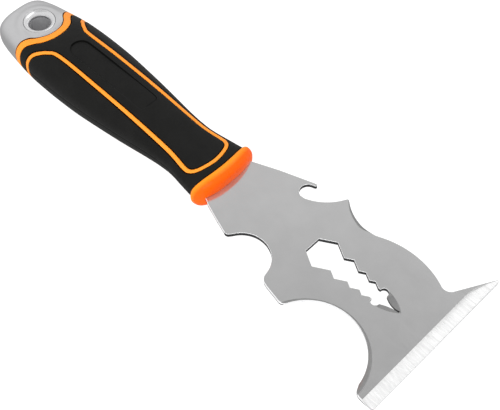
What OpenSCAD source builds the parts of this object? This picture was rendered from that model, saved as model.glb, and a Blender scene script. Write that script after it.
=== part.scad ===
// Painter's multi tool: a flat steel blade with a scraper edge, wrench openings, a nail puller,
// a bottle opener and roller-cleaning arcs, on a two-shot grip with a metal hammer cap.
// The tool lies flat: +X towards the scraper edge, +Y across the blade, +Z up.
// The origin is under the middle of the tool, on the surface that it lies on.

/* [Overall] */
// Length from the butt of the cap to the scraper edge
tool_len = 238; // [234:0.5:242]

/* [Blade] */
// Thickness of the blade and its tang
blade_t = 1.9; // [1.5:0.1:2.2]
// Distance from the scraper edge back to the centre of the largest wrench opening
wrench_back = 55.3; // [55:0.1:56]
// Width of the ground bevel at the scraper edge
bevel_w = 5.3; // [4:0.1:6]
// Thickness left at the scraper edge
edge_t = 0.5; // [0.3:0.1:0.8]
// Radius of the large roller-cleaning arc
roller_r = 21.8; // [21.4:0.1:22.2]
// Radius of the small roller-cleaning arc
mini_roller_r = 11.6; // [11.3:0.1:11.9]

/* [Wrench openings] */
// Across flats of the first opening
hex_1 = 13; // [13:0.1:13.2]
// Across flats of the second opening
hex_2 = 10; // [10:0.1:10.2]
// Across flats of the third opening
hex_3 = 8; // [8:0.1:8.2]
// Across flats of the fourth opening
hex_4 = 7; // [7:0.1:7.2]

/* [Grip] */
// Width of the grip at its widest
grip_w = 34.8; // [33:0.1:36]
// Thickness of the grip at its thickest
grip_t = 25.8; // [25:0.1:27]
// Thickness of the soft rubber skin
rubber_t = 2.4; // [2:0.1:2.6]
// Width of the core's ribs that show as stripes
rib_w = 1.9; // [1.6:0.1:2.2]

/* [Hanging hole] */
// Bore of the tubular rivet that lines the hanging hole
hole_d = 9; // [8:0.1:9.4]
// Distance from the butt to the hole's centre
hole_back = 17; // [16.5:0.1:17.5]

/* [Rivets] */
// Diameter of the rivets that hold the core's halves on the tang
rivet_d = 4; // [3:0.1:4.5]

/* [Hidden] */

// Steel, plastic and rubber colours
steel = "#b0b0b0";
cap_metal = "#d0d0d2";
orange = "#ff9632";
ferrule_orange = "#ff6e0a";
black = "#242422";

gap = 0.05;          // clearance between neighbouring pieces
rivet_x = [40, 72, 106];       // distance of each core rivet from the butt
rivet_half = [9.8, 9.2, 5.6];  // reach of each core rivet above and below the mid-plane
countersink_depth = 0.4;       // depth of the recess round the nail slot
mid_z = grip_t / 2;  // height of the blade's mid-plane
big = 60;            // larger than any cut needs in its free directions
arc_steps = 12;      // chords in each arc of an outline
ring_n = 28;         // points round each section of the grip
squareness = 2.5;    // exponent of the grip's superellipse sections
grip_len = 129;      // length of the grip's form, which ends inside the ferrule
cap_len = 61;        // length of form that the cap and the trim are cut from

// ---- Curves ----

// Points on the arc from a through b to c
function arc3(a, b, c, n = arc_steps) =
  let(
    d = 2 * (a.x * (b.y - c.y) + b.x * (c.y - a.y) + c.x * (a.y - b.y)),
    ux = ((a * a) * (b.y - c.y) + (b * b) * (c.y - a.y) + (c * c) * (a.y - b.y)) / d,
    uy = ((a * a) * (c.x - b.x) + (b * b) * (a.x - c.x) + (c * c) * (b.x - a.x)) / d,
    o = [ux, uy],
    r = norm(a - o),
    start = atan2(a.y - uy, a.x - ux),
    to_mid = turn(atan2(b.y - uy, b.x - ux) - start),
    to_end = turn(atan2(c.y - uy, c.x - ux) - start),
    sweep = to_mid <= to_end ? to_end : to_end - 360
  )
  [for (i = [0:n]) o + r * [cos(start + sweep * i / n), sin(start + sweep * i / n)]];

function turn(a) = a < 0 ? turn(a + 360) : a >= 360 ? turn(a - 360) : a;

// Smooth curve through the points of a list (Catmull-Rom), with n chords a span
function spline(p, n = 6) = concat(
  [for (i = [0:len(p) - 2], k = [0:n - 1]) span(p, i, k / n)],
  [p[len(p) - 1]]
);
function span(p, i, t) =
  let(
    a = p[max(i - 1, 0)],
    b = p[i],
    c = p[i + 1],
    d = p[min(i + 2, len(p) - 1)]
  )
  b + t * ((c - a) / 2 + t * ((2 * a - 5 * b + 4 * c - d) / 2 + t * (3 * b - a - 3 * c + d) / 2));

function mirror_y(p) = [for (i = [len(p) - 1:-1:0]) [p[i].x, -p[i].y]];

// ---- Grip form: [distance from the butt, half width, half thickness], as shares of the largest ----

PROFILE = [
  [0, 0.49, 0.30],
  [1, 0.60, 0.44],
  [2.5, 0.685, 0.56],
  [5, 0.765, 0.64],
  [10, 0.842, 0.715],
  [17, 0.911, 0.767],
  [23, 0.96, 0.82],
  [30, 0.992, 0.92],
  [40, 1, 0.993],
  [51, 0.991, 1],
  [61, 0.963, 0.969],
  [80, 0.859, 0.886],
  [98, 0.739, 0.752],
  [107, 0.718, 0.654],
  [112, 0.741, 0.605],
  [119, 0.81, 0.56],
  [grip_len, 0.89, 0.60]
];
STATIONS = spline(PROFILE, 2);

// The ferrule's sections, in millimetres
ferrule_end = tool_len - wrench_back - 50;
FERRULE = [
  [-12, 15.4, 7.4],
  [-7.5, 16.4, 8.3],
  [-4.6, 16.3, 8.3],
  [-3, 15.4, 8],
  [-1.8, 13.4, 7.5],
  [-0.9, 10.8, 6.8],
  [-0.3, 7.8, 5.9],
  [0, 5.2, 5]
];

function section(half_w, half_t) = [
  for (i = [0:ring_n - 1])
  let(c = cos(360 * i / ring_n), s = sin(360 * i / ring_n))
  [half_w * sign(c) * pow(abs(c), 2 / squareness), half_t * sign(s) * pow(abs(s), 2 / squareness)]
];

// Solid through sections [x, half width, half thickness], drawn in by inset
module loft(sections, inset = 0) {
  for (i = [0:len(sections) - 2])
    hull()
      polyhedron(
        points = [
          for (q = [sections[i], sections[i + 1]], p = section(q.y - inset, q.z - inset))
          [q.x, p.x, p.y]
        ],
        faces = [[for (k = [0:2 * ring_n - 1]) k]]
      );
}

module grip_form(inset = 0, from = 0, to = grip_len) {
  sections = [
    for (q = STATIONS)
    if (q.x >= from && q.x <= to) [q.x, q.y * grip_w / 2, q.z * grip_t / 2]
  ];
  loft(sections, inset);
}

// ---- Lines on the grip, seen from above: [distance from the butt, offset from the axis] ----

// Rear and front edges of the wavy trim band
trim_rear = spline([[28, 0], [27.3, 3.8], [24.5, 7.4], [21.5, 9.6], [19.4, 12], [18.4, 15], [18, 20]]);
trim_front = spline([[31.5, 0], [31, 4], [28.9, 8], [25.7, 10.6], [23, 13], [21.8, 15.6], [21.4, 20]]);
// Centre of the stripe, from the side of the butt to the front, and its closed front end
stripe_side = spline([
  [26.3, 20], [27.2, 16.8], [28.9, 14.3], [31.6, 12.3], [35, 10.3], [40, 8.85],
  [60, 8.95], [80, 9.05], [98, 9.15], [107, 9.35], [112, 9.9], [115.5, 10.5]
]);
stripe_front = spline([[118.6, 10.8], [120.9, 9.7], [122.5, 7.2], [123.6, 3.5], [124, 0]]);
// Front edge of the rubber, where the ferrule starts
ferrule_rear_x = 127.8;
ferrule_rear = arc3([125.4, -15.5], [ferrule_rear_x, 0], [125.4, 15.5], 16);

module behind(curve) {
  polygon(concat([[-big, big]], curve_down(curve), [[-big, -big]]));
}
function curve_down(curve) = concat(
  [for (i = [len(curve) - 1:-1:0]) curve[i]],
  [for (i = [1:len(curve) - 1]) [curve[i].x, -curve[i].y]]
);

// Everything inside the stripe's centre line, open at the butt
module stripe_area() {
  side = concat(stripe_side, stripe_front);
  polygon(concat([[-big, 20]], side, mirror_y(side), [[-big, -20]]));
}

module stripe_band() {
  difference() {
    offset(r = rib_w / 2) stripe_area();
    offset(r = -rib_w / 2) stripe_area();
  }
}

// Between the trim band and the ferrule
module middle_zone() {
  difference() {
    behind_ferrule(gap);
    offset(r = gap) behind(trim_front);
  }
}

// All that is further back than the ferrule's rear edge, less a clearance
module behind_ferrule(clear = 0) {
  translate([-clear, 0])
    polygon(concat([[-big, -big], [120, -big]], ferrule_rear, [[120, big], [-big, big]]));
}

module prism() {
  translate([0, 0, -big]) linear_extrude(2 * big) children();
}

// Puts the grip, drawn from the butt along the axis, in its place
module place_grip() {
  translate([-tool_len / 2, 0, mid_z]) children();
}

module place_blade() {
  translate([tool_len / 2 - wrench_back, 0, mid_z]) children();
}

// ---- Blade, drawn from the centre of the largest wrench opening ----

tang_tip = -(tool_len - wrench_back) + 6;
tang_w = 15;
tang_outline = [[tang_tip, 6], [tang_tip + 3, tang_w / 2], [-62, tang_w / 2], [-56, 11], [-50.4, 13.3]];

// Upper edge, from the tang to the scraper edge: bottle opener, can-opener point, finger curve, beak
upper_edge = concat(
  [[-40, 17.5], [-25.2, 22.5]],
  arc3([-24.6, 22.6], [-24, 22.3], [-24.1, 21.6], 4),
  arc3([-24.8, 21.2], [-28.1, 17.3], [-25.4, 14], 10),
  arc3([-23.4, 14.1], [-17.5, 17.3], [-11.4, 24.7]),
  arc3([-11, 25.4], [-10.6, 25.7], [-10.1, 25.5], 3),
  arc3([-9.6, 25.2], [-2.5, 21], [8, 19.9]),
  arc3([9.5, 20.4], [24.5, 23.5], [39.8, 20.1]),
  arc3([41, 19.5], [43, 19.1], [45.6, 20.6], 6),
  arc3([54, 35.6], [54.7, 36.3], [wrench_back, 35.8], 4)
);

// Lower edge, from the scraper edge back to the tang: roller arcs with a lobe between them
roller_c = [23.4, -35.55];
mini_roller_c = [-21.9, -23.35];
lower_edge = concat(
  arc3([wrench_back, -36.2], [55, -36.8], [54.3, -36.9], 3),
  [[50.5, -36.7], [48.6, -36.5]],
  arc3([47.6, -36.2], [46.5, -35.4], [45.7, -34], 4),
  arc3(on_roller(8), on_roller(90), on_roller(154), 28),
  arc3([3.5, -26.4], [2, -27.3], [0.2, -27.1], 4),
  [[-6.6, -25.7]],
  arc3([-7.9, -25.2], [-9.2, -24.4], [-10.1, -23], 4),
  arc3(on_mini_roller(10), on_mini_roller(90), on_mini_roller(151), 18),
  arc3([-33, -18.9], [-34, -19.4], [-35.2, -19.1], 4),
  [[-42, -16.8], [-49, -14.2]]
);
function on_roller(a) = roller_c + roller_r * [cos(a), sin(a)];
function on_mini_roller(a) = mini_roller_c + mini_roller_r * [cos(a), sin(a)];

module blade_outline() {
  polygon(concat(tang_outline, upper_edge, lower_edge, mirror_y(tang_outline)));
}

// Wrench openings in a row: each starts where the one before has closed in to its flats
hex_x = [0, 9.7, 16.6, 21.9];
hex_af = [hex_1, hex_2, hex_3, hex_4];

module wrench_openings() {
  for (i = [0:3])
    translate([hex_x[i], 0])
      rotate(30) circle(d = hex_af[i] / cos(30), $fn = 6);
}

// Arrow-shaped slot for pulling nails: two round lobes and a narrowing slot
module nail_slot() {
  for (side = [-1, 1])
    translate([27.2, side * 2.7]) circle(r = 1.75, $fn = 32);
  translate([23.5, -2.6]) square([5.4, 5.2]);
  polygon(concat(
    [[28.4, -2.6]], arc3([29, -2.2], [31.2, -1], [36.6, -0.35], 6),
    arc3([36.6, 0.35], [31.2, 1], [29, 2.2], 6), [[28.4, 2.6]]
  ));
}

// Shallow countersink round the slot
module nail_countersink() {
  polygon(concat(
    [[28.6, -4.1]], arc3([29.4, -3.9], [33.5, -2.6], [37.2, -0.3], 6),
    arc3([37.2, 0.3], [33.5, 2.6], [29.4, 3.9], 6), [[28.6, 4.1]]
  ));
}

// Wedge that grinds the scraper edge from both faces
module edge_bevels() {
  rise = (blade_t - edge_t) / 2;
  for (side = [0, 1])
    mirror([0, 0, side])
      translate([wrench_back, 0, 0])
        rotate([90, 0, 0])
          translate([0, 0, -big])
            linear_extrude(2 * big)
              polygon([[-bevel_w, blade_t / 2], [1, edge_t / 2 - rise / bevel_w], [1, blade_t]]);
}

module blade() {
  color(steel)
    difference() {
      place_blade()
        difference() {
          translate([0, 0, -blade_t / 2])
            linear_extrude(blade_t)
              difference() {
                blade_outline();
                wrench_openings();
                nail_slot();
              }
          edge_bevels();
          translate([0, 0, blade_t / 2 - countersink_depth])
            linear_extrude(blade_t)
              nail_countersink();
        }
      place_grip() {
        for (x = rivet_x)
          translate([x, 0, 0]) cylinder(d = rivet_d + 2 * gap, h = 2 * blade_t, center = true, $fn = 48);
        translate([hole_back, 0, 0])
          cylinder(r = eyelet_r + gap, h = 2 * blade_t, center = true, $fn = 64);
      }
    }
}

// Slot that the tang fills, with clearance all round
module tang_space() {
  linear_extrude(blade_t + 2 * gap, center = true)
    translate([tool_len - wrench_back, 0])
      offset(delta = gap) blade_outline();
}

// ---- Core: two halves with the ribs that show as stripes ----

module core_form() {
  intersection() {
    grip_form(rubber_t + gap, 19);
    prism() middle_zone();
  }
  intersection() {
    grip_form(0, 17);
    prism() intersection() {
      offset(delta = -gap) stripe_band();
      middle_zone();
    }
  }
}

module core_half(up) {
  color(orange)
    place_grip()
      difference() {
        core_form();
        tang_space();
        for (x = rivet_x)
          translate([x, 0, 0]) cylinder(d = rivet_d + 2 * gap, h = big, center = true, $fn = 32);
        mirror([0, 0, up ? 0 : 1])
          translate([-big, -big, gap / 2 - 2 * big])
            cube([4 * big, 2 * big, 2 * big]);
      }
}

module core_upper() {
  core_half(true);
}

module core_lower() {
  core_half(false);
}

// Solid rivet through both halves and the tang, ending under the rubber
module core_rivet(i) {
  length = 2 * rivet_half[i];
  color(cap_metal)
    place_grip()
      translate([rivet_x[i], 0, 0])
        cylinder(d = rivet_d, h = length, center = true, $fn = 48);
}

// ---- Ferrule ----

module front_ferrule() {
  color(ferrule_orange)
    place_grip()
      difference() {
        loft([for (q = FERRULE) [ferrule_end + q.x, q.y, q.z]]);
        prism() behind_ferrule();
        tang_space();
      }
}

// ---- Rubber skins ----

module rubber_shell() {
  difference() {
    grip_form(0, 17);
    grip_form(rubber_t, 17);
  }
}

// Top and bottom panels, joined by a band round the butt end
module face_grip() {
  color(black)
    place_grip()
      intersection() {
        rubber_shell();
        prism() intersection() {
          middle_zone();
          offset(r = -rib_w / 2) stripe_area();
        }
      }
}

// Both sides, joined by a band round the front
module side_grip() {
  color(black)
    place_grip()
      intersection() {
        rubber_shell();
        prism() difference() {
          middle_zone();
          offset(r = rib_w / 2) stripe_area();
        }
      }
}

// ---- Butt ----

module butt_trim() {
  color(orange)
    place_grip()
      difference() {
        intersection() {
          grip_form(0, 0, cap_len);
          prism() difference() {
            behind(trim_front);
            behind(trim_rear);
          }
        }
        tang_space();
      }
}

eyelet_r = hole_d / 2 + 1.1;  // outside of the tubular rivet
flare_r = hole_d / 2 + 2.4;   // outside of its flared ends
bore_half = 0.61 * grip_t / 2; // reach of the straight bore above and below the mid-plane
flare_h = 1.9;                // height of each flare
wall = 0.7;                   // wall of each flare

module hammer_cap() {
  color(cap_metal)
    place_grip()
      difference() {
        grip_form(0, 0, cap_len);
        prism() difference() {
          square(4 * big, center = true);
          offset(r = -gap) behind(trim_rear);
        }
        tang_space();
        translate([hole_back, 0, 0]) {
          cylinder(r = eyelet_r + gap, h = big, center = true, $fn = 48);
          for (side = [0, 1])
            mirror([0, 0, side])
              translate([0, 0, bore_half - wall - gap]) {
                cylinder(r1 = eyelet_r + gap, r2 = flare_r + gap, h = flare_h, $fn = 48);
                translate([0, 0, flare_h]) cylinder(r = flare_r + gap, h = 3, $fn = 48);
              }
        }
      }
}

// Tubular rivet that holds the cap on the tang and lines the hanging hole
module hang_eyelet() {
  upper = [
    [eyelet_r, bore_half - wall],
    [flare_r, bore_half - wall + flare_h],
    [flare_r, bore_half + flare_h - 0.3],
    [flare_r - 0.3, bore_half + flare_h],
    [hole_d / 2, bore_half]
  ];
  color(cap_metal)
    place_grip()
      translate([hole_back, 0, 0])
        rotate_extrude($fn = 96)
          polygon(concat(upper, [for (i = [len(upper) - 1:-1:0]) [upper[i].x, -upper[i].y]]));
}

blade();
core_upper();
core_lower();
core_rivet(2);  // core_rivet_front
core_rivet(1);  // core_rivet_middle
core_rivet(0);  // core_rivet_rear
front_ferrule();
face_grip();
side_grip();
butt_trim();
hammer_cap();
hang_eyelet();
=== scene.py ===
"""Painter's multi tool: finished pieces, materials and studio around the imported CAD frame.

Lengths are in millimetres until a mesh is made. On the grip a place is [s, y], where s is the distance
from the butt of the cap; on the blade it is [x, y] from the centre of the largest wrench opening.
"""

import math

import bmesh
import bpy
import numpy as np
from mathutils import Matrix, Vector
from mathutils.geometry import delaunay_2d_cdt


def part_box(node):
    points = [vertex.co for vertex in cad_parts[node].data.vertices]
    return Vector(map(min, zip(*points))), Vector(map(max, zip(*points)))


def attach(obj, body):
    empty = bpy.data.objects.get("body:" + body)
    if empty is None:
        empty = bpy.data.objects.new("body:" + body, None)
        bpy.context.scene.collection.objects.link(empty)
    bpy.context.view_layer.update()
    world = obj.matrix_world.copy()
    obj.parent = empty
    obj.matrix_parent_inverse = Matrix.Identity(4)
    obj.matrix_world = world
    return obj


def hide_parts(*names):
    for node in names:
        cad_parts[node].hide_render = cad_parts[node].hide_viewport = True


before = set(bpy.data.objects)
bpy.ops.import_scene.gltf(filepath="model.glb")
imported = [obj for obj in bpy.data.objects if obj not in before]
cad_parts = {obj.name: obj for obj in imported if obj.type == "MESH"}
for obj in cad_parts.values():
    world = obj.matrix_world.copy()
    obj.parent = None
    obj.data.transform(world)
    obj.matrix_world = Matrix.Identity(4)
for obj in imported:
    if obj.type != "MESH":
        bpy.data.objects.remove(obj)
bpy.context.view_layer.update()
scene = bpy.context.scene

MM = 0.001
BLADE_LOW, BLADE_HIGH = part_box("blade")
BUTT_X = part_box("hammer_cap")[0].x / MM
MID_Z = (BLADE_LOW.z + BLADE_HIGH.z) / 2 / MM
WRENCH_BACK = 55.3  # from the scraper edge back to the largest wrench opening
WRENCH_S = BLADE_HIGH.x / MM - BUTT_X - WRENCH_BACK
BLADE_HALF = (BLADE_HIGH.z - BLADE_LOW.z) / 2 / MM
CLEARANCE = 0.05  # between touching pieces of the CAD
BIG = 60.0  # further from the axis than any edge

# ---------------------------------------------------------------- camera

# Fitted to the photo: the camera's place in metres and the way that it looks, in degrees
CAMERA_PLACE = (0.2139, -0.1979, 0.3906)
CAMERA_HEADING = 133.808
CAMERA_DOWN = 54.384


def make_camera():
    data = bpy.data.cameras.new("camera")
    data.lens = 85.0
    data.sensor_width = 36.0
    data.clip_start = 0.01
    data.clip_end = 20.0
    camera = bpy.data.objects.new("camera", data)
    scene.collection.objects.link(camera)
    down = math.radians(CAMERA_DOWN)
    heading = math.radians(CAMERA_HEADING)
    look = Vector((
        math.cos(down) * math.cos(heading),
        math.cos(down) * math.sin(heading),
        -math.sin(down),
    ))
    camera.location = CAMERA_PLACE
    camera.rotation_mode = "QUATERNION"
    camera.rotation_quaternion = look.to_track_quat("-Z", "Y")
    scene.camera = camera


make_camera()

# ---------------------------------------------------------------- curves and outlines


def arc(a, b, c, n=12):
    """Points on the arc from a through b to c."""
    a, b, c = (np.array(p, float) for p in (a, b, c))
    d = 2 * (a[0] * (b[1] - c[1]) + b[0] * (c[1] - a[1]) + c[0] * (a[1] - b[1]))
    ux = ((a @ a) * (b[1] - c[1]) + (b @ b) * (c[1] - a[1]) + (c @ c) * (a[1] - b[1])) / d
    uy = ((a @ a) * (c[0] - b[0]) + (b @ b) * (a[0] - c[0]) + (c @ c) * (b[0] - a[0])) / d
    centre = np.array([ux, uy])
    radius = np.hypot(*(a - centre))
    start, middle, end = (math.atan2(*(p - centre)[::-1]) for p in (a, b, c))
    to_middle = (middle - start) % math.tau
    to_end = (end - start) % math.tau
    sweep = to_end if to_middle <= to_end else to_end - math.tau
    turns = start + sweep * np.linspace(0, 1, n + 1)
    return [tuple(centre + radius * np.array([math.cos(t), math.sin(t)])) for t in turns]


def spans(points):
    """Each stretch b to c of a line of points, with the points a and d on either side of it."""
    p = [np.array(q, float) for q in points]
    return [(p[max(i - 1, 0)], p[i], p[i + 1], p[min(i + 2, len(p) - 1)]) for i in range(len(p) - 1)]


def spline_point(a, b, c, d, t):
    """Point at share t of the way from b to c on a smooth curve (Catmull-Rom)."""
    bend = (2 * a - 5 * b + 4 * c - d) / 2 + t * (3 * b - a - 3 * c + d) / 2
    return b + t * ((c - a) / 2 + t * bend)


def smooth(points, n):
    """Smooth curve through points, with n chords a span."""
    made = [spline_point(*span, k / n) for span in spans(points) for k in range(n)]
    return [tuple(q) for q in made + [np.array(points[-1], float)]]


def mirrored(points):
    """The same line on the other side of the axis, run the other way."""
    return [(x, -y) for x, y in reversed(points)]


def both_sides(points):
    """A curve that ends on the axis or crosses it there, carried on to its mirror image."""
    return list(points) + [(x, -y) for x, y in list(reversed(points))[1:]]


def signed_distance(points, outline):
    """Distance of each point to a closed outline, negative inside."""
    corners = np.array(outline, float)
    best = np.full(len(points), np.inf)
    inside = np.zeros(len(points), bool)
    for a, b in zip(corners, np.roll(corners, -1, axis=0)):
        d = b - a
        if d @ d < 1e-12:
            continue
        from_a = points - a
        t = np.clip(from_a @ d / (d @ d), 0, 1)
        best = np.minimum(best, np.hypot(*(from_a - t[:, None] * d).T))
        if a[1] != b[1]:
            spans = (a[1] > points[:, 1]) != (b[1] > points[:, 1])
            inside ^= spans & (from_a[:, 0] < d[0] * from_a[:, 1] / d[1])
    return np.where(inside, -best, best)


def line_distance(points, line):
    """Distance of each point to an open line."""
    best = np.full(len(points), np.inf)
    line = np.array(line, float)
    for a, b in zip(line[:-1], line[1:]):
        d = b - a
        t = np.clip((points - a) @ d / (d @ d), 0, 1)
        best = np.minimum(best, np.hypot(*(points - a - t[:, None] * d).T))
    return best


def ease(x):
    """Smooth step from 0 to 1."""
    x = np.clip(x, 0, 1)
    return x * x * (3 - 2 * x)


# ---------------------------------------------------------------- meshes and pieces

SHARP = math.radians(34)  # edges that bend more than this stay crisp, as do borders between finishes


def make_piece(name, points, faces, materials, nodes, kinds=None, origin_s=0.0):
    """Mesh piece from points [s or x, y, height above the mid-plane]; it rides on the one body."""
    mesh = bpy.data.meshes.new(name)
    place = np.array([BUTT_X + origin_s, 0, MID_Z])
    mesh.from_pydata(((np.asarray(points) + place) * MM).tolist(), [], [list(f) for f in faces])
    for material in materials:
        mesh.materials.append(material)
    if kinds is not None:
        mesh.polygons.foreach_set("material_index", kinds)
    work = bmesh.new()
    work.from_mesh(mesh)
    bmesh.ops.recalc_face_normals(work, faces=work.faces)
    for face in work.faces:
        face.smooth = True
    for edge in work.edges:
        looks = {face.material_index for face in edge.link_faces}
        edge.smooth = len(looks) == 1 and edge.calc_face_angle(math.pi) < SHARP
    work.to_mesh(mesh)
    work.free()
    piece = bpy.data.objects.new(name, mesh)
    scene.collection.objects.link(piece)
    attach(piece, "root")
    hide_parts(*nodes)
    return piece


# ---------------------------------------------------------------- materials


class Look:
    """Principled material with the nodes that its detail needs."""

    def __init__(self, name, color, metallic=0.0, roughness=0.5, **values):
        self.material = bpy.data.materials.new(name)
        self.material.use_nodes = True
        self.tree = self.material.node_tree
        self.shader = self.tree.nodes["Principled BSDF"]
        self.color = color
        self.set("Base Color", (*color, 1))
        self.set("Metallic", metallic)
        self.set("Roughness", roughness)
        for socket, value in values.items():
            self.set(socket.replace("_", " "), value)
        self.place = self.tree.nodes.new("ShaderNodeTexCoord").outputs["Object"]

    def set(self, socket, value):
        self.shader.inputs[socket].default_value = value

    def noise(self, grain, stretch=(1, 1, 1), detail=3.0, roughness=0.5):
        """Noise with features of about grain mm, drawn out by stretch."""
        mapping = self.tree.nodes.new("ShaderNodeMapping")
        mapping.inputs["Scale"].default_value = [1 / (grain * MM * s) for s in stretch]
        texture = self.tree.nodes.new("ShaderNodeTexNoise")
        texture.inputs["Scale"].default_value = 1.0
        texture.inputs["Detail"].default_value = detail
        texture.inputs["Roughness"].default_value = roughness
        self.tree.links.new(self.place, mapping.inputs["Vector"])
        self.tree.links.new(mapping.outputs["Vector"], texture.inputs["Vector"])
        return texture.outputs["Fac"]

    def spread(self, value, low, high, start=0.3, end=0.7):
        """Maps the middle of a noise to the range from low to high."""
        node = self.tree.nodes.new("ShaderNodeMapRange")
        node.inputs["From Min"].default_value = start
        node.inputs["From Max"].default_value = end
        node.inputs["To Min"].default_value = low
        node.inputs["To Max"].default_value = high
        self.tree.links.new(value, node.inputs["Value"])
        return node.outputs["Result"]

    def vary_color(self, value, dark, light):
        """Shades the base colour from dark times itself to light times itself."""
        ramp = self.tree.nodes.new("ShaderNodeValToRGB")
        ramp.color_ramp.elements[0].position = 0.3
        ramp.color_ramp.elements[1].position = 0.7
        ramp.color_ramp.elements[0].color = (*[c * dark for c in self.color], 1)
        ramp.color_ramp.elements[1].color = (*[min(c * light, 1) for c in self.color], 1)
        self.tree.links.new(value, ramp.inputs["Fac"])
        self.tree.links.new(ramp.outputs["Color"], self.shader.inputs["Base Color"])

    def math(self, operation, a, b):
        node = self.tree.nodes.new("ShaderNodeMath")
        node.operation = operation
        for socket, value in zip(node.inputs, (a, b)):
            if isinstance(value, float):
                socket.default_value = value
            else:
                self.tree.links.new(value, socket)
        return node.outputs["Value"]

    def blend_color(self, value, other):
        """Passes from the base colour to another one."""
        node = self.tree.nodes.new("ShaderNodeMix")
        node.data_type = "RGBA"
        self.tree.links.new(value, node.inputs["Factor"])
        colors = [socket for socket in node.inputs if socket.type == "RGBA"]
        colors[0].default_value = (*self.color, 1)
        colors[1].default_value = (*other, 1)
        output = [socket for socket in node.outputs if socket.type == "RGBA"][0]
        self.tree.links.new(output, self.shader.inputs["Base Color"])

    def vary_roughness(self, value, low, high):
        self.tree.links.new(self.spread(value, low, high), self.shader.inputs["Roughness"])

    def bump(self, value, height, strength=1.0):
        """Relief of about height mm."""
        node = self.tree.nodes.new("ShaderNodeBump")
        node.inputs["Distance"].default_value = height * MM
        node.inputs["Strength"].default_value = strength
        self.tree.links.new(value, node.inputs["Height"])
        self.tree.links.new(node.outputs["Normal"], self.shader.inputs["Normal"])


def steel_face():
    """Satin sheet steel: fine rolled grain along the tool and a faint cloudiness."""
    look = Look("steel_face", (0.60, 0.60, 0.60), metallic=0.88, roughness=0.12)
    look.vary_color(look.noise(9, detail=4), 0.97, 1.03)
    look.vary_roughness(look.noise(0.5, stretch=(14, 1, 1), detail=5), 0.09, 0.15)
    look.bump(look.noise(0.16, stretch=(40, 1, 1), detail=4), 0.0003)
    return look.material


def ground_edge():
    """Freshly ground steel with marks across the scraper edge."""
    look = Look("ground_edge", (0.62, 0.62, 0.62), metallic=1.0, roughness=0.25)
    look.vary_color(look.noise(0.5, stretch=(25, 1, 1), detail=6, roughness=0.7), 0.9, 1.04)
    look.vary_roughness(look.noise(0.5, stretch=(20, 1, 1), detail=5), 0.2, 0.34)
    look.bump(look.noise(0.3, stretch=(30, 1, 1), detail=6), 0.0015)
    return look.material


def ground_bevel():
    """Coarser, darker grinding on the arcs and round the nail slot."""
    look = Look("ground_bevel", (0.39, 0.39, 0.39), metallic=1.0, roughness=0.32)
    look.vary_color(look.noise(0.5, detail=5, roughness=0.65), 0.85, 1.15)
    look.bump(look.noise(0.25, detail=4), 0.006)
    return look.material


def sheared_wall_painted_dark():
    """Sheared wall of the stamped openings, half rough, painted near-black as painted shade."""
    look = Look("sheared_wall_painted_dark", (0.012, 0.012, 0.013), roughness=0.3)
    look.vary_roughness(look.noise(0.3, stretch=(1, 1, 6)), 0.22, 0.4)
    look.bump(look.noise(0.2, stretch=(1, 1, 8)), 0.01)
    return look.material


def deburred_wall_highlight():
    """Deburred outer edges and the chamfer rims, painted near-white as a painted highlight."""
    look = Look("deburred_wall_highlight", (0.93, 0.93, 0.94), metallic=0.3, roughness=0.28)
    look.vary_roughness(look.noise(0.4), 0.22, 0.34)
    return look.material


def rubber():
    """Soft black grip rubber with a fine matt grain."""
    look = Look(
        "grip_rubber", (0.006, 0.006, 0.0056), roughness=0.5,
        Specular_IOR_Level=0.18, Sheen_Weight=0.02, Sheen_Roughness=0.4,
    )
    look.vary_color(look.noise(7, detail=4), 0.85, 1.2)
    look.vary_roughness(look.noise(1.2, detail=4), 0.48, 0.62)
    look.bump(look.noise(0.28, detail=3, roughness=0.6), 0.012)
    return look.material


def orange_plastic():
    """Orange core plastic, satin."""
    look = Look("orange_plastic", (1.0, 0.31, 0.02), roughness=0.42, Specular_IOR_Level=0.4)
    look.vary_color(look.noise(5, detail=3), 0.97, 1.0)
    look.vary_roughness(look.noise(1.0, detail=4), 0.36, 0.48)
    look.bump(look.noise(0.4, detail=3), 0.008)
    return look.material


def ferrule_plastic():
    """Deep orange moulded plastic with a gloss, and a painted highlight: lighter orange over the rear."""
    look = Look("ferrule_plastic", (1.0, 0.115, 0.001), roughness=0.3, Specular_IOR_Level=0.15)
    # painted highlight: lighter orange where the rear shoulder catches the light
    look.blend_color(painted_rear_highlight(look), (1.0, 0.29, 0.015))
    look.vary_roughness(look.noise(1.5, detail=4), 0.24, 0.36)
    look.bump(look.noise(1.2, detail=2), 0.003)
    return look.material


def painted_rear_highlight(look):
    """Painted highlight: 1 over the rear of the ferrule, falling to 0 at a line that bows back from near its
    front.
    """
    bow = 11.0  # metres back per square metre off the axis
    full_until, none_from = FERRULE_END - 3.6, FERRULE_END - 1.6
    split = look.tree.nodes.new("ShaderNodeSeparateXYZ")
    look.tree.links.new(look.place, split.inputs["Vector"])
    off_axis = split.outputs["Y"]
    back = look.math("MULTIPLY", look.math("MULTIPLY", off_axis, off_axis), bow)
    along = look.math("ADD", split.outputs["X"], back)
    return look.spread(along, 1, 0, (BUTT_X + full_until) * MM, (BUTT_X + none_from) * MM)


def seam_shadow():
    """Painted shade: dark brown inside the joint lines and on the core under the stripes."""
    look = Look("seam_shadow", (0.02, 0.008, 0.004), roughness=0.7, Specular_IOR_Level=0.1)
    look.vary_color(look.noise(2, detail=3), 0.8, 1.2)
    return look.material


def panel_shade():
    """Painted shade: darker rubber for the recessed panel's wall, on its rear and upper side."""
    look = Look("panel_shade", (0.0022, 0.0022, 0.002), roughness=0.6, Specular_IOR_Level=0.08)
    look.vary_roughness(look.noise(1.2, detail=4), 0.55, 0.7)
    return look.material


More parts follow.
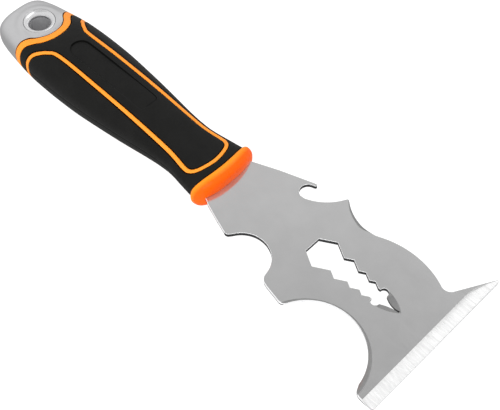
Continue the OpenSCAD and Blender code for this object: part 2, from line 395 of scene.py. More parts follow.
def cap_steel():
    """Satin die-cast cap."""
    look = Look("cap_steel", (0.78, 0.78, 0.79), metallic=1.0, roughness=0.34)
    look.vary_color(look.noise(6, detail=4), 0.97, 1.02)
    look.vary_roughness(look.noise(0.6, detail=5), 0.28, 0.38)
    look.bump(look.noise(0.35, detail=4), 0.004)
    return look.material


def bright_steel():
    """Polished ring of the hanging hole and the rivets."""
    look = Look("bright_steel", (0.92, 0.92, 0.93), metallic=1.0, roughness=0.26)
    look.vary_roughness(look.noise(0.8, detail=4), 0.24, 0.28)
    return look.material


def bore_steel():
    """Duller inside of the tubular rivet, half diffuse grey as painted light, so that the bore reads lighter.
    """
    look = Look("bore_steel", (0.48, 0.48, 0.49), metallic=0.5, roughness=0.5)
    look.vary_color(look.noise(1.0, stretch=(1, 1, 2), detail=4), 0.93, 1.07)
    look.vary_roughness(look.noise(0.5, detail=4), 0.34, 0.48)
    return look.material


# ---------------------------------------------------------------- form of the grip

SQUARENESS = 2.5  # power of the sections' superellipse
GRIP_HALF_W = 17.4
GRIP_HALF_T = 12.9
RUBBER_T = 2.4
RIB_HALF = 0.95
SEAM = 0.18  # half of the gap between neighbouring pieces
SHOULDER = 0.4  # radius of the rounded edges beside the seams
METAL_SHOULDER = 0.3  # the same on the cap
PARTING_HALF, PARTING_DEPTH = 0.3, 0.14  # shallow line along the middle of the side grip
RIB_ROOT = 0.2  # depth that the stripes' ribs reach below the rubber
CORE_GAP = 0.1  # between the rubber and the plain part of the core

# [distance from the butt, share of the half width, share of the half thickness]
PROFILE = [
    (0, 0.49, 0.30), (1, 0.60, 0.44), (2.5, 0.685, 0.56), (5, 0.765, 0.64), (10, 0.842, 0.715),
    (17, 0.911, 0.767), (23, 0.96, 0.82), (30, 0.992, 0.92), (40, 1, 0.993), (51, 0.991, 1),
    (61, 0.963, 0.969), (80, 0.859, 0.886), (98, 0.739, 0.752), (107, 0.718, 0.654),
    (112, 0.741, 0.605), (119, 0.81, 0.56), (129, 0.89, 0.60),
]
STATIONS = [(s, w * GRIP_HALF_W, t * GRIP_HALF_T) for s, w, t in PROFILE]
# The butt is crowned: rings inside the end section, each [depth of crown left, share of the section]
BUTT_CROWN = [(0.0, 0.04), (0.03, 0.35), (0.1, 0.65), (0.22, 0.85), (0.42, 0.96)]

# [distance back from the ferrule's front, half width, half thickness]
FERRULE = [
    (-12, 15.4, 7.4), (-7.5, 16.4, 8.3), (-4.6, 16.3, 8.3), (-3, 15.4, 8), (-1.8, 13.4, 7.5),
    (-0.9, 10.8, 6.8), (-0.3, 7.8, 5.9), (0, 5.2, 5),
]
FERRULE_END = WRENCH_S - 50

TRIM_REAR = smooth([(28, 0), (27.3, 3.8), (24.5, 7.4), (21.5, 9.6), (19.4, 12), (18.4, 15), (18, 20)], 8)
TRIM_FRONT = smooth([(31.5, 0), (31, 4), (28.9, 8), (25.7, 10.6), (23, 13), (21.8, 15.6), (21.4, 20)], 8)
STRIPE = smooth([
    (26.3, 20), (27.2, 16.8), (28.9, 14.3), (31.6, 12.3), (35, 10.3), (40, 8.85), (60, 8.95),
    (80, 9.05), (98, 9.15), (107, 9.35), (112, 9.9), (115.5, 10.5),
], 8) + smooth([(118.6, 10.8), (120.9, 9.7), (122.5, 7.2), (123.6, 3.5), (124, 0)], 8)
FERRULE_REAR = arc((125.4, 15.5), (127.8, 0), (125.4, -15.5), 30)


def behind(curve):
    """Outline of all that lies towards the butt from a curve that runs out from the axis."""
    return [(-BIG, BIG)] + both_sides(list(reversed(curve))) + [(-BIG, -BIG)]


REAR_OUTLINE = behind(TRIM_REAR)
FRONT_OUTLINE = behind(TRIM_FRONT)
STRIPE_OUTLINE = [(-BIG, 20)] + both_sides(STRIPE) + [(-BIG, -20)]
FERRULE_OUTLINE = [(-BIG, BIG), (120, BIG)] + FERRULE_REAR + [(120, -BIG), (-BIG, -BIG)]



def panel_outline():
    """Shallow panel in the top of the grip: a long slot with a round rear end."""
    rear, front, half, corner, cut_off = 39.9, 86.7, 4.85, 2, 0.5
    return (
        arc((rear + half, half), (rear, 0), (rear + half, -half), 24)
        + arc((front - corner, -half), (front - cut_off, cut_off - half), (front, corner - half), 6)
        + arc((front, half - corner), (front - cut_off, half - cut_off), (front - corner, half), 6)
    )


PANEL_OUTLINE = panel_outline()
PANEL_DEPTH = 0.7
PANEL_FADE_FROM, PANEL_FADE_OVER, PANEL_FADE = 52, 32, 0.75  # it gets shallower towards the front
PANEL_WALL = 0.32  # width of its sloping wall
PANEL_SHADE_FROM = -2  # the wall gets painted shade where y is more than this

HOLE_S = 17.0
SEAT_R = 7.0  # hole in the cap that takes the eyelet's flare
SEAT_Z = 9.72  # the cap is flat here round the eyelet
SEAT_END = SEAT_R + 4.5  # distance from the hole's axis where the cap's form is free again


def unit_section(turn):
    """Point of the section at a turn, when both half sizes are 1."""
    c, s = np.cos(turn), np.sin(turn)
    power = 2 / SQUARENESS
    return np.sign(c) * np.abs(c) ** power, np.sign(s) * np.abs(s) ** power


def even_turns(count, half_w, half_t):
    """Turns that space points evenly round a section, the same in each quarter."""
    fine = np.linspace(0, math.pi / 2, 4001)
    y, z = unit_section(fine)
    along = np.concatenate([[0], np.cumsum(np.hypot(np.diff(y * half_w), np.diff(z * half_t)))])
    quarter = np.interp(np.linspace(0, along[-1], count // 4 + 1), along, fine)
    first = quarter[:-1]
    second = math.pi - quarter[:0:-1]
    return np.concatenate([first, second, first + math.pi, second + math.pi])


def fine_stations(stations, step):
    """The same smooth profile with stations no further apart than step."""
    made = []
    for a, b, c, d in spans(stations):
        n = max(1, math.ceil(np.linalg.norm(c - b) / step))
        made += [spline_point(a, b, c, d, k / n) for k in range(n)]
    return np.array(made + [np.array(stations[-1], float)])


class Skin:
    """Polygons over a lofted form. Each vertex has a row number along the form and a turn round it."""

    SNAP = 0.03  # vertices this near a cut are taken to lie on it
    TAPER = 5  # insets shrink in step where the half size is less than this

    def __init__(self, rows, turns):
        n = len(turns)
        self.rows = rows
        self.along = [float(i) for i in range(len(rows)) for _ in range(n)]
        self.turn = [float(t) for _ in rows for t in turns]
        self.polys = [
            [i * n + k, i * n + (k + 1) % n, (i + 1) * n + (k + 1) % n, (i + 1) * n + k]
            for i in range(len(rows) - 1)
            for k in range(n)
        ]
        self.polys.append(list(reversed(range(n))))
        self.polys.append([(len(rows) - 1) * n + k for k in range(n)])
        self.rules, self.value, self.mean = {}, {}, {}

    def place(self, inset=0.0, first=0):
        """Positions of the vertices from number first on, drawn in by inset."""
        along = np.array(self.along[first:])
        row = np.minimum(along.astype(int), len(self.rows) - 2)
        share = (along - row)[:, None]
        station = self.rows[row] * (1 - share) + self.rows[row + 1] * share
        y, z = unit_section(np.array(self.turn[first:]))
        half = station[:, 1:] - np.reshape(inset, (-1, 1)) * np.minimum(1, station[:, 1:] / self.TAPER)
        return np.stack([station[:, 0], half[:, 0] * y, half[:, 1] * z], 1)

    def watch(self, name, rule):
        """Keeps a named value, which rule works out from positions, for each vertex."""
        self.rules[name] = rule
        self.value[name] = rule(self.place())

    def cut(self, name, *levels):
        """Cuts the polygons along lines where a watched value is at these levels."""
        for level in levels:
            self.cut_once(name, level)

    def cut_once(self, name, level):
        """Splits each polygon that the line crosses, with new vertices on its edges."""
        near = np.abs(self.value[name] - level) < self.SNAP
        self.value[name][near] = level
        value = (self.value[name] - level).tolist()
        first, made, kept = len(self.along), {}, []
        for poly in self.polys:
            signs = [value[v] for v in poly]
            if min(signs) >= 0 or max(signs) <= 0:
                kept.append(poly)
                continue
            ring = []
            for a, b in zip(poly, poly[1:] + poly[:1]):
                ring.append(a)
                if value[a] * value[b] < 0:
                    key = (min(a, b), max(a, b))
                    if key not in made:
                        made[key] = self.between(*key, value)
                    ring.append(made[key])
            off = [(i, value[v] > 0) for i, v in enumerate(ring) if v < first and value[v] != 0]
            on = sorted((i + 1) % len(ring) for (i, a), (_, b) in zip(off, off[1:] + off[:1]) if a != b)
            if len(on) == 2:
                kept.append(ring[on[0]:on[1] + 1])
                kept.append(ring[on[1]:] + ring[:on[0] + 1])
            else:
                kept.append(ring)
        self.polys = kept
        if len(self.along) > first:
            places = self.place(first=first)
            for other, rule in self.rules.items():
                self.value[other] = np.concatenate([self.value[other], rule(places)])
            self.value[name][first:] = level

    def between(self, a, b, value):
        """New vertex on the edge from a to b, where value is zero."""
        share = value[a] / (value[a] - value[b])
        turn_a, turn_b = self.turn[a], self.turn[b]
        if turn_b - turn_a > math.pi:
            turn_a += math.tau
        if turn_a - turn_b > math.pi:
            turn_b += math.tau
        self.along.append(self.along[a] + share * (self.along[b] - self.along[a]))
        self.turn.append((turn_a + share * (turn_b - turn_a)) % math.tau)
        return len(self.along) - 1

    def average(self):
        """Works out each watched value's mean over each polygon, when all cuts are made."""
        for name, values in self.value.items():
            value = values.tolist()
            self.mean[name] = np.array([sum(value[v] for v in poly) / len(poly) for poly in self.polys])

    def shell(self, chosen, outer, inner):
        """Points, faces and kinds of a closed shell over the chosen polygons: 0 outside, 1 in the seams."""
        chosen = [poly for poly, wanted in zip(self.polys, chosen) if wanted]
        used = sorted({v for poly in chosen for v in poly})
        index = {v: i for i, v in enumerate(used)}
        n = len(used)
        faces = [[index[v] for v in poly] for poly in chosen]
        rims = {(a, b) for f in faces for a, b in zip(f, f[1:] + f[:1])}
        walls = [[b, a, a + n, b + n] for a, b in sorted(rims) if (b, a) not in rims]
        back = [[v + n for v in reversed(f)] for f in faces]
        kinds = [0] * len(faces) + [1] * (len(back) + len(walls))
        return np.concatenate([outer[used], inner[used]]), faces + back + walls, kinds


def shoulder(distance, radius):
    """Drop of a rounded edge at a distance from its border."""
    left = radius - np.clip(distance, 0, radius)
    return radius - np.sqrt(np.maximum(radius * radius - left * left, 0))


def distance_to(outline):
    """Rule for a watched value: the distance to an outline, seen from above."""
    return lambda points: signed_distance(points[:, :2], outline)


def grip_skin():
    """Form of the whole grip, cut along its seams, its panel, its hole and its parting line."""
    rows = fine_stations(STATIONS, 1.0)
    crown = [(s, rows[0][1] * share, rows[0][2] * share) for s, share in BUTT_CROWN]
    rows = rows[rows[:, 0] > BUTT_CROWN[-1][0] + 0.1]
    skin = Skin(np.concatenate([crown, rows]), even_turns(112, 15.5, 11))
    skin.watch("rear", distance_to(REAR_OUTLINE))
    skin.watch("front", distance_to(FRONT_OUTLINE))
    skin.watch("stripe", distance_to(STRIPE_OUTLINE))
    skin.watch("ferrule", distance_to(FERRULE_OUTLINE))
    skin.watch("panel", lambda p: signed_distance(p[:, :2], PANEL_OUTLINE) + BIG * (p[:, 2] < 0))
    skin.watch("hole", lambda p: np.hypot(p[:, 0] - HOLE_S, p[:, 1]))
    skin.watch("height", lambda p: p[:, 2])
    skin.watch("side", lambda p: p[:, 1])
    steps = (0, 0.08, 0.2, SHOULDER)
    for name in ("rear", "front"):
        skin.cut(name, *[-SEAM - d for d in steps], *[SEAM + d for d in steps])
    skin.cut("ferrule", *[-SEAM - d for d in steps])
    for middle in (-RIB_HALF, RIB_HALF):
        skin.cut("stripe", *[middle - SEAM - d for d in steps], *[middle + SEAM + d for d in steps])
    skin.cut("panel", *[-share * PANEL_WALL for share in (0, 0.25, 0.55, 1)])
    skin.cut("hole", *[SEAT_R + d for d in (0, 0.1, METAL_SHOULDER, 0.9, 2)])
    skin.cut("height", 0, -0.12, 0.12, -PARTING_HALF, PARTING_HALF)
    skin.average()
    return skin


def skin_piece(skin, looks, name, chosen, outer, look, shade=None, inner=None):
    """Piece over the chosen polygons of the skin, as deep as the rubber, with painted shade inside the seams.
    """
    if inner is None:
        inner = skin.place(RUBBER_T)
    points, faces, kinds = skin.shell(chosen, outer, inner)
    if shade is not None:
        kinds = [2 if marked else 0 for marked in shade[chosen]] + kinds[chosen.sum():]
    materials = [looks[look], looks["seam"], looks["shade"]]
    make_piece(name, points, faces, materials[:max(kinds) + 1], [name], kinds=kinds)


def between_ends(skin):
    """Polygons between the trim and the ferrule, and the distance of each vertex to the nearer of them."""
    chosen = (skin.mean["front"] > SEAM) & (skin.mean["ferrule"] < -SEAM)
    return chosen, np.minimum(skin.value["front"] - SEAM, -skin.value["ferrule"] - SEAM)


def face_grip_piece(skin, looks):
    """Rubber of the top and bottom, with the shallow panel in the top and painted shade on part of its wall.
    """
    v, m = skin.value, skin.mean
    middle, ends = between_ends(skin)
    fade = PANEL_FADE * ease((skin.place()[:, 0] - PANEL_FADE_FROM) / PANEL_FADE_OVER)
    recess = PANEL_DEPTH * (1 - fade) * ease(-v["panel"] / PANEL_WALL)
    border = np.minimum(ends, -v["stripe"] - RIB_HALF - SEAM)
    outer = skin.place(shoulder(border, SHOULDER) + recess)
    # painted shade on the panel's wall where it faces away from the light
    shade = (m["panel"] < 0) & (m["panel"] > -PANEL_WALL) & (m["side"] > PANEL_SHADE_FROM)
    chosen = middle & (m["stripe"] < -RIB_HALF - SEAM)
    skin_piece(skin, looks, "face_grip", chosen, outer, "rubber", shade)


def side_grip_piece(skin, looks):
    """Rubber of the sides, with the parting line."""
    v, m = skin.value, skin.mean
    middle, ends = between_ends(skin)
    parting = PARTING_DEPTH * (1 - ease(np.abs(v["height"]) / PARTING_HALF))
    border = np.minimum(ends, v["stripe"] - RIB_HALF - SEAM)
    outer = skin.place(shoulder(border, SHOULDER) + parting)
    chosen = middle & (m["stripe"] > RIB_HALF + SEAM)
    skin_piece(skin, looks, "side_grip", chosen, outer, "rubber")


def trim_piece(skin, looks):
    """Wavy orange band between the rubber and the cap."""
    v, m = skin.value, skin.mean
    border = np.minimum(v["rear"] - SEAM, -SEAM - v["front"])
    outer = skin.place(shoulder(border, SHOULDER))
    chosen = (m["rear"] > SEAM) & (m["front"] < -SEAM)
    skin_piece(skin, looks, "butt_trim", chosen, outer, "orange")


def core_piece(skin, looks, name, side):
    """Half of the core: the plain body under the rubber and the ribs that show as stripes."""
    v, m = skin.value, skin.mean
    middle, ends = between_ends(skin)
    border = np.minimum(ends, RIB_HALF - SEAM - np.abs(v["stripe"]))
    outer = skin.place(shoulder(border, SHOULDER))
    rib = middle & (np.abs(m["stripe"]) < RIB_HALF - SEAM) & (side * m["height"] > 0)
    points, faces, kinds = skin.shell(rib, outer, skin.place(RUBBER_T + RIB_ROOT))
    body_points, body_faces, body_kinds = core_body(side)
    body_faces = [[i + len(points) for i in face] for face in body_faces]
    make_piece(
        name, np.concatenate([points, body_points]), faces + body_faces, [looks["orange"], looks["seam"]],
        [name], kinds=kinds + body_kinds,
    )


def cap_piece(skin, looks):
    """Metal cap with a flat seat for the eyelet."""
    v, m = skin.value, skin.mean
    outer = skin.place(shoulder(-v["rear"] - SEAM, METAL_SHOULDER))
    outer = seated(outer, v["hole"], v["hole"] - SEAT_R)
    inner = skin.place(RUBBER_T)
    inner[:, 0] = np.maximum(inner[:, 0], RUBBER_T)
    chosen = (m["rear"] < -SEAM) & (m["hole"] > SEAT_R)
    skin_piece(skin, looks, "hammer_cap", chosen, outer, "cap", inner=inner)


def grip_pieces(looks):
    """The rubber skins, the trim band, the core and the cap, all cut from one form."""
    skin = grip_skin()
    face_grip_piece(skin, looks)
    side_grip_piece(skin, looks)
    trim_piece(skin, looks)
    core_piece(skin, looks, "core_upper", 1)
    core_piece(skin, looks, "core_lower", -1)
    cap_piece(skin, looks)


def seated(points, from_axis, from_rim):
    """The cap's surface, made flat round the hole, with a rounded rim."""
    flat_width = 0.6
    flat = ease((SEAT_END - from_axis) / (SEAT_END - SEAT_R - flat_width))
    rim = shoulder(from_rim, METAL_SHOULDER)
    up = np.sign(points[:, 2])
    points[:, 2] += flat * (up * (SEAT_Z - rim) - points[:, 2])
    return points


def core_body(side):
    """Plain half of the core under the rubber, flat beside the tang, with painted shade under the seams (kind
    1).
    """
    first, last, tang_half, n = 25.0, 125.0, BLADE_HALF + CLEARANCE, 24
    painted_shade_within = 1.6  # distance from the middle of a stripe, seen from above, within which the core gets painted shade
    rows = fine_stations(STATIONS, 4.0)
    rows = rows[(rows[:, 0] > first) & (rows[:, 0] < last)]
    points, faces, above = [], [], []
    for s, outer_half_w, outer_half_t in rows:
        half_w, half_t = outer_half_w - RUBBER_T - CORE_GAP, outer_half_t - RUBBER_T - CORE_GAP
        start = math.asin((tang_half / half_t) ** (SQUARENESS / 2))
        y, z = unit_section(np.linspace(start, math.pi - start, n))
        points += [(s, a * half_w, side * b * half_t) for a, b in zip(y, z)]
        above += [(s, a * outer_half_w) for a in y]
    from_stripe = np.abs(signed_distance(np.array(above), STRIPE_OUTLINE))
    for i in range(len(rows) - 1):
        for k in range(n):
            a, b = i * n + k, i * n + (k + 1) % n
            faces.append([a, b, b + n, a + n])
    faces.append(list(range(n)))
    faces.append([(len(rows) - 1) * n + k for k in range(n)])
    kinds = [int(len(face) == 4 and min(from_stripe[face]) < painted_shade_within) for face in faces]
    return np.array(points), faces, kinds


def ferrule_piece(looks):
    """Collar round the tang, with a rounded rear shoulder and the slot that the tang leaves by."""
    radius, flattening = 1.5, 0.75  # of the rear shoulder
    wall, end_wall, slot_reach, nose_length = 2.0, 1.2, 5, 0.12
    rows = fine_stations([(FERRULE_END + s, w, t) for s, w, t in FERRULE], 0.5)
    end, end_w, end_t = rows[-1]
    nose = [(end + nose_length * (1 - share), end_w * share, end_t * share) for share in (0.75, 0.4, 0.08)]
    skin = Skin(np.concatenate([rows, nose]), even_turns(128, 15, 7.5))
    skin.watch("rear", distance_to(FERRULE_OUTLINE))
    skin.watch("slot", lambda p: np.abs(p[:, 2]) - (BLADE_HALF + CLEARANCE))
    skin.watch("across", lambda p: np.abs(p[:, 1]) - tang_half_width(p[:, 0]))
    skin.watch("forward", lambda p: p[:, 0] - (FERRULE_END - slot_reach))
    skin.cut("rear", *[SEAM + d * radius for d in (0, 0.04, 0.12, 0.25, 0.45, 0.7, 1)])
    skin.cut("slot", 0)
    skin.cut("across", 0)
    skin.cut("forward", 0)
    skin.average()
    m = skin.mean
    outer = skin.place(shoulder(skin.value["rear"] - SEAM, radius) * flattening)
    inner = skin.place(wall)
    inner[:, 0] = np.minimum(inner[:, 0], FERRULE_END - end_wall)
    slot = (m["slot"] < 0) & (m["across"] < 0) & (m["forward"] > 0)
    chosen = (m["rear"] > SEAM) & ~slot
    skin_piece(skin, looks, "front_ferrule", chosen, outer, "ferrule", inner=inner)


def tang_half_width(s):
    """Half width of the slot for the blade, where it leaves the ferrule."""
    x_places, halves = (-56, -50.4, -45), (11.05, 13.35, 15.4)
    return np.interp(s - WRENCH_S, x_places, halves)


def eyelet_piece(looks):
    """Tubular rivet turned about the hole's axis: bore, funnel and rounded lip, the same below."""
    upper = [
        (4.5, 7.3), (4.53, 7.75), (4.64, 8.15), (4.85, 8.55), (5.2, 9.0), (5.65, 9.4), (6.1, 9.68),
        (6.4, 9.78), (6.65, 9.76), (6.82, 9.64), (6.9, 9.45), (6.85, 9.2), (5.6, 6.9),
    ]
    profile = upper + [(r, -z) for r, z in reversed(upper)]
    count, n = 96, len(profile)
    points, faces, kinds = [], [], []
    for i in range(count):
        turn = math.tau * i / count
        points += [(HOLE_S + r * math.cos(turn), r * math.sin(turn), z) for r, z in profile]
        j = (i + 1) % count
        for k in range(n):
            faces.append([i * n + k, i * n + (k + 1) % n, j * n + (k + 1) % n, j * n + k])
            kinds.append(1 if k == n - 1 else 0)
    make_piece(
        "hang_eyelet", points, faces, [looks["bright"], looks["bore"]],
        ["hang_eyelet"], kinds=kinds,
    )


# ---------------------------------------------------------------- blade

CHAMFER = 0.12
SCRAPER_CHAMFER = 0.3  # the same at the scraper edge, as a share
FRACTURE = 0.32  # share of a sheared wall's height, from below, that is torn and rough
EDGE_HALF, BEVEL_LENGTH = 0.25, 5.3  # the scraper edge's half thickness and its bevel
DEEPEST = 1.05  # most that grinding takes off
EYELET_HOLE_R, RIVET_HOLE_R = 5.65, 2.05
RIVET_S = (40, 72, 106)
HEX_X = (0, 9.7, 16.6, 21.9)
HEX_AF = (13, 10, 8, 7)
ROLLER_C, ROLLER_R = (23.4, -35.55), 21.8
MINI_C, MINI_R = (-21.9, -23.35), 11.6

TANG = [(6 - WRENCH_S, 6), (9 - WRENCH_S, 7.5), (-62, 7.5), (-56, 11), (-50.4, 13.3)]
UPPER_EDGE = (
    [(-40, 17.5), (-25.2, 22.5)]
    + arc((-24.6, 22.6), (-24, 22.3), (-24.1, 21.6), 6)
    + arc((-24.8, 21.2), (-28.1, 17.3), (-25.4, 14), 24)
    + arc((-23.4, 14.1), (-17.5, 17.3), (-11.4, 24.7), 24)
    + arc((-11, 25.4), (-10.6, 25.7), (-10.1, 25.5), 4)
    + arc((-9.6, 25.2), (-2.5, 21), (8, 19.9), 28)
    + arc((9.5, 20.4), (24.5, 23.5), (39.8, 20.1), 36)
    + arc((41, 19.5), (43, 19.1), (45.6, 20.6), 10)
    + arc((54, 35.6), (54.7, 36.3), (WRENCH_BACK, 35.8), 6)
)


def part_circle(centre, radius, start, end, n):
    """Points on a circle from start to end, in degrees."""
    turns = [math.radians(start + (end - start) * i / n) for i in range(n + 1)]
    return [(centre[0] + radius * math.cos(t), centre[1] + radius * math.sin(t)) for t in turns]


def whole_circle(centre, radius, n):
    """A circle as a loop of n points."""
    return part_circle(centre, radius, 0, 360, n)[:-1]


LOWER_EDGE = (
    arc((WRENCH_BACK, -36.2), (55, -36.8), (54.3, -36.9), 5)
    + [(50.5, -36.7), (48.6, -36.5)]
    + arc((47.6, -36.2), (46.5, -35.4), (45.7, -34), 8)
    + part_circle(ROLLER_C, ROLLER_R, 8, 154, 60)
    + arc((3.5, -26.4), (2, -27.3), (0.2, -27.1), 8)
    + [(-6.6, -25.7)]
    + arc((-7.9, -25.2), (-9.2, -24.4), (-10.1, -23), 8)
    + part_circle(MINI_C, MINI_R, 10, 151, 40)
    + arc((-33, -18.9), (-34, -19.4), (-35.2, -19.1), 6)
    + [(-42, -16.8), (-49, -14.2)]
)


def opening_outline():
    """The four wrench openings and the nail slot as one outline."""
    root3 = math.sqrt(3)
    half = [(-HEX_AF[0] / 2, HEX_AF[0] / 2 / root3)]
    for i, (x, flats) in enumerate(zip(HEX_X, HEX_AF)):
        half.append((x, flats / root3))
        if i < 3:
            rise = (flats - HEX_AF[i + 1]) / 2
            notch = (x + HEX_X[i + 1] + rise * 2) / 2
            half.append((notch, (flats - (notch - x)) / root3))
    last_x, last_peak, lobe_y = HEX_X[3], HEX_AF[3] / root3, 2.6
    half.append((last_x + (last_peak - lobe_y) * root3, lobe_y))
    half += arc((25.46, lobe_y), (27.2, 4.45), (28.9, 2.4), 14)
    half += arc((29.05, 2.1), (31.2, 1), (36.6, 0.35), 12)
    return half + mirrored(half)


# Lines where the ground areas start, and the areas' outlines
EDGE_LINE = (
    [(49.7, -BIG), (50, -36), (50, 23)]
    + arc((50.1, 25), (51.2, 29.5), (53.2, 33.3), 8)
    + [(54, 35), (55, BIG)]
)
EDGE_AREA = EDGE_LINE + [(BIG * 2, BIG), (BIG * 2, -BIG)]
ARC_LINE = part_circle((23.93, -37.05), 23.7, -6, 160, 70)
POINT_LINE = arc((-10.7, 25.9), (-4.49, 20.6), (1.6, 18.5), 10) + arc((3.2, 18.7), (5, 19.15), (7.6, 20.2), 4)
POINT_AREA = POINT_LINE + [(7, 26), (-8, 30)]
LEAF_LINE = [(27.9, 3.4)] + arc((28.5, 4.15), (33.5, 2.7), (37.6, 0), 12)
LEAF_LINE = LEAF_LINE + mirrored(LEAF_LINE)[1:]

# Ground areas: [outline, line where the grinding starts, drop per millimetre from it]
GROUND = {
    "edge": (EDGE_AREA, EDGE_LINE, (BLADE_HALF - EDGE_HALF) / BEVEL_LENGTH),
    "arc": (ARC_LINE, ARC_LINE, 0.4),
    "point": (POINT_AREA, POINT_LINE, 0.45),
    "leaf": (LEAF_LINE, LEAF_LINE, 0.35),
}
TOP_ONLY = ("arc", "point", "leaf")
BLADE_LOOKS = ("steel", "edge", "ground", "cut", "wall")


def offset_loop(loop, distance):
    """A loop moved to its left by distance."""
    p = np.array(loop, float)
    before = p - np.roll(p, 1, axis=0)
    after = np.roll(p, -1, axis=0) - p
    normals = []
    for d in (before, after):
        length = np.hypot(*d.T)[:, None]
        normals.append(np.stack([-d[:, 1], d[:, 0]], 1) / length)
    way = normals[0] + normals[1]
    way /= np.hypot(*way.T)[:, None]
    sharpest = 0.35  # keeps the miter of a sharp corner short
    reach = distance / np.maximum((way * normals[0]).sum(1), sharpest)
    return [tuple(q) for q in p + way * reach[:, None]]


def area_of(loop):
    """Area inside a loop, positive when it runs to the left."""
    x, y = np.array(loop, float).T
    return (x * np.roll(y, -1) - y * np.roll(x, -1)).sum() / 2


def blade_plan():
    """Loops of the blade: the outline to the left, then the openings and the rivet holes to the right."""
    outline = TANG + UPPER_EDGE + LOWER_EDGE + mirrored(TANG)
    holes = [opening_outline(), whole_circle((HOLE_S - WRENCH_S, 0), EYELET_HOLE_R, 48)]
    holes += [whole_circle((s - WRENCH_S, 0), RIVET_HOLE_R, 32) for s in RIVET_S]
    loops = [outline if area_of(outline) > 0 else outline[::-1]]
    loops += [h if area_of(h) < 0 else h[::-1] for h in holes]
    return loops


def blade_mesh(loops):
    """Points [x, y] and triangles of the blade's face, with edges on every loop and every ground line."""
    lines = [(loop, True) for loop in loops + [offset_loop(loop, CHAMFER) for loop in loops]]
    lines += [(line, False) for _, line, _ in GROUND.values()]
    points, edges = [], []
    for line, closed in lines:
        first, n = len(points), len(line)
        points += [Vector(p) for p in line]
        edges += [(first + i, first + (i + 1) % n) for i in range(n if closed else n - 1)]
    made, _, tris, _, _, _ = delaunay_2d_cdt(points, edges, [], 0, 1e-4)
    made = np.array([tuple(p) for p in made])
    tris = np.array([list(t) for t in tris])
    centres = made[tris].mean(axis=1)
    inside = signed_distance(centres, loops[0]) < 0
    for hole in loops[1:]:
        inside &= signed_distance(centres, hole) > 0
    return made, tris[inside]


def from_loops(points, loops):
    """Distance of each point to the nearest loop."""
    return np.min([np.abs(signed_distance(points, loop)) for loop in loops], axis=0)


def blade_heights(made, loops):
    """Heights of the blade's top and bottom, with the ground areas and the chamfers taken off."""
    depth_of = {}
    for name, (area, line, slope) in GROUND.items():
        within = signed_distance(made, area) < 1e-3
        depth_of[name] = np.where(within, slope * line_distance(made, line), 0)
    at_edge = np.where(made[:, 0] > WRENCH_BACK - 0.3, SCRAPER_CHAMFER, 1.0)
    rim_drop = np.clip(CHAMFER - from_loops(made, loops), 0, CHAMFER) * at_edge
    top = BLADE_HALF - np.minimum(sum(depth_of.values()), DEEPEST) - rim_drop
    return top, -BLADE_HALF + depth_of["edge"] + rim_drop


def face_kinds(centres, loops):
    """Numbers of the looks of the top's and the bottom's triangles."""
    # the chamfer rims take the near-white wall look, a painted highlight
    rim = from_loops(centres, loops) < CHAMFER * 0.7
    top, bottom = (np.where(rim, BLADE_LOOKS.index("wall"), 0) for _ in range(2))
    for name in TOP_ONLY:
        top[signed_distance(centres, GROUND[name][0]) < 0] = BLADE_LOOKS.index("ground")
    for kinds in (top, bottom):
        kinds[signed_distance(centres, EDGE_AREA) < 0] = BLADE_LOOKS.index("edge")
    return list(top), list(bottom)


def blade_piece(looks):
    """The stamped blade: two faces, and walls with a burnished strip over a torn one, with painted shade and
    painted highlight on the walls.
    """
    loops = blade_plan()
    made, tris = blade_mesh(loops)
    top, bottom = blade_heights(made, loops)
    fracture = bottom + FRACTURE * (top - bottom)
    kind_top, kind_bottom = face_kinds(made[tris].mean(axis=1), loops)

    n = len(made)
    layers = np.concatenate([np.column_stack([made, z]) for z in (top, bottom, fracture)])
    faces = [list(t) for t in tris] + [[v + n for v in t[::-1]] for t in tris]
    kinds = kind_top + kind_bottom
    rims = {(a, b) for t in tris.tolist() for a, b in zip(t, t[1:] + t[:1])}
    for a, b in sorted(rims):
        if (b, a) not in rims:
            faces += [[b, a, a + 2 * n, b + 2 * n], [b + 2 * n, a + 2 * n, a + n, b + n]]
            kinds += [BLADE_LOOKS.index(name) for name in wall_look((made[a] + made[b]) / 2, loops)]
    used = sorted({v for f in faces for v in f})
    index = {v: i for i, v in enumerate(used)}
    faces = [[index[v] for v in f] for f in faces]
    make_piece(
        "blade", layers[used], faces, [looks[name] for name in BLADE_LOOKS],
        ["blade"], kinds=kinds, origin_s=WRENCH_S,
    )


def wall_look(place, loops):
    """Looks of the wall's upper and lower parts: near-black painted shade in the openings, the hook and the
    small arc, near-white painted highlight on the other outer walls.
    """
    x, y = place
    in_opening = np.abs(signed_distance(place[None, :], loops[0]))[0] > 0.5
    on_small_arc = math.hypot(x - MINI_C[0], y - MINI_C[1]) < MINI_R + 2 and -35.5 < x < -14
    on_hook = -28.5 < x < -23.9 and 13.9 < y < 22.4
    # painted shade: near-black walls where they show dark
    if in_opening or on_small_arc or on_hook:
        return "cut", "cut"
    on_big_arc = math.hypot(x - ROLLER_C[0], y - ROLLER_C[1]) < ROLLER_R + 0.3
    # painted highlight: near-white walls on the big arc and the scraper edge
    if on_big_arc or x > WRENCH_BACK - 0.5:
        return "wall", "wall"
    upper = "ground" if y > 19 else "wall"
    return upper, "cut"


# ---------------------------------------------------------------- studio


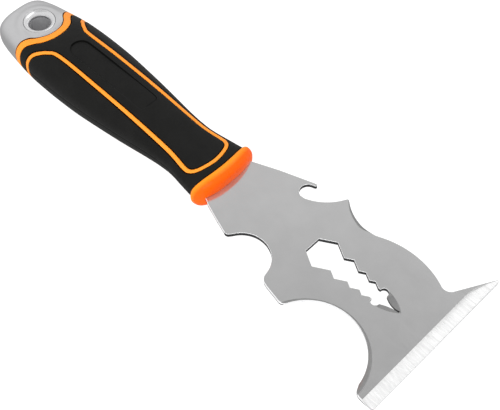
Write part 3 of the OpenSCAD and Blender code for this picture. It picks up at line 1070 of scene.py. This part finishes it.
def make_studio():
    """White paper under soft light from above, with one panel that shows in the metal."""
    scene.view_settings.view_transform = "Standard"
    world = bpy.data.worlds.new("studio")
    world.use_nodes = True
    scene.world = world
    light_world(world.node_tree)

    floor_mesh = bpy.data.meshes.new("floor")
    half = 3.0
    corners = [(-half, -half, 0), (half, -half, 0), (half, half, 0), (-half, half, 0)]
    floor_mesh.from_pydata(corners, [], [(0, 1, 2, 3)])
    look = Look(
        "floor_paper", (0.25, 0.25, 0.25), roughness=0.9,
        Specular_IOR_Level=0.1, Emission_Color=(1, 1, 1, 1), Emission_Strength=0.95,
    )
    look.vary_color(look.noise(30, detail=3), 0.995, 1.005)
    floor_mesh.materials.append(look.material)
    floor = bpy.data.objects.new("floor", floor_mesh)
    scene.collection.objects.link(floor)
    floor.visible_glossy = False

    add_softbox("panel", (0.28, 0.62, 1.05), (0.28, 0.62, 0), (0.64, 0.95), 2.25)
    add_softbox("front", (0.9, -0.5, 0.9), (0, 0, 0), (0.8, 0.8), 7.5, glossy=False)
    add_softbox("fill", (-0.2, -1.0, 1.3), (0, 0, 0), (1.2, 1.2), 12.0, glossy=False)


def light_world(tree):
    """Pale grey surroundings, darker below the horizon and straight overhead."""
    place = tree.nodes.new("ShaderNodeTexCoord").outputs["Generated"]
    split = tree.nodes.new("ShaderNodeSeparateXYZ")
    tree.links.new(place, split.inputs["Vector"])
    ramp = tree.nodes.new("ShaderNodeValToRGB")
    # [share of the way from straight below to straight above, brightness]
    shades = ((0.0, 0.42), (0.3, 0.42), (0.62, 0.70), (0.9, 0.77), (0.935, 0.55), (1.0, 0.5))
    elements = ramp.color_ramp.elements
    for height, _ in shades[1:-1]:
        elements.new(height)
    for element, (_, shade) in zip(elements, shades):
        element.color = (shade, shade, shade, 1)
    spread = tree.nodes.new("ShaderNodeMapRange")
    spread.inputs["From Min"].default_value = -1.0
    tree.links.new(split.outputs["Z"], spread.inputs["Value"])
    tree.links.new(spread.outputs["Result"], ramp.inputs["Fac"])
    tree.links.new(ramp.outputs["Color"], tree.nodes["Background"].inputs["Color"])


def add_softbox(name, place, target, size, power, glossy=True):
    """Area light that faces a target; it shows in reflections only if it is glossy."""
    data = bpy.data.lights.new(name, "AREA")
    data.shape = "RECTANGLE"
    data.size, data.size_y = size
    data.energy = power
    light = bpy.data.objects.new(name, data)
    light.location = place
    light.rotation_mode = "QUATERNION"
    light.rotation_quaternion = (Vector(target) - Vector(place)).to_track_quat("-Z", "Y")
    light.visible_glossy = glossy
    scene.collection.objects.link(light)


# ---------------------------------------------------------------- assembly


def build():
    """All pieces of the tool."""
    looks = {
        "steel": steel_face(), "edge": ground_edge(), "ground": ground_bevel(), "cut": sheared_wall_painted_dark(),
        "wall": deburred_wall_highlight(), "bright": bright_steel(), "rubber": rubber(), "orange": orange_plastic(),
        "ferrule": ferrule_plastic(), "cap": cap_steel(), "bore": bore_steel(),
        "seam": seam_shadow(), "shade": panel_shade(),
    }
    blade_piece(looks)
    grip_pieces(looks)
    ferrule_piece(looks)
    eyelet_piece(looks)
    for name in ("core_rivet_front", "core_rivet_middle", "core_rivet_rear"):
        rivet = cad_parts[name]
        rivet.data.materials.clear()
        rivet.data.materials.append(looks["bright"])


build()
make_studio()
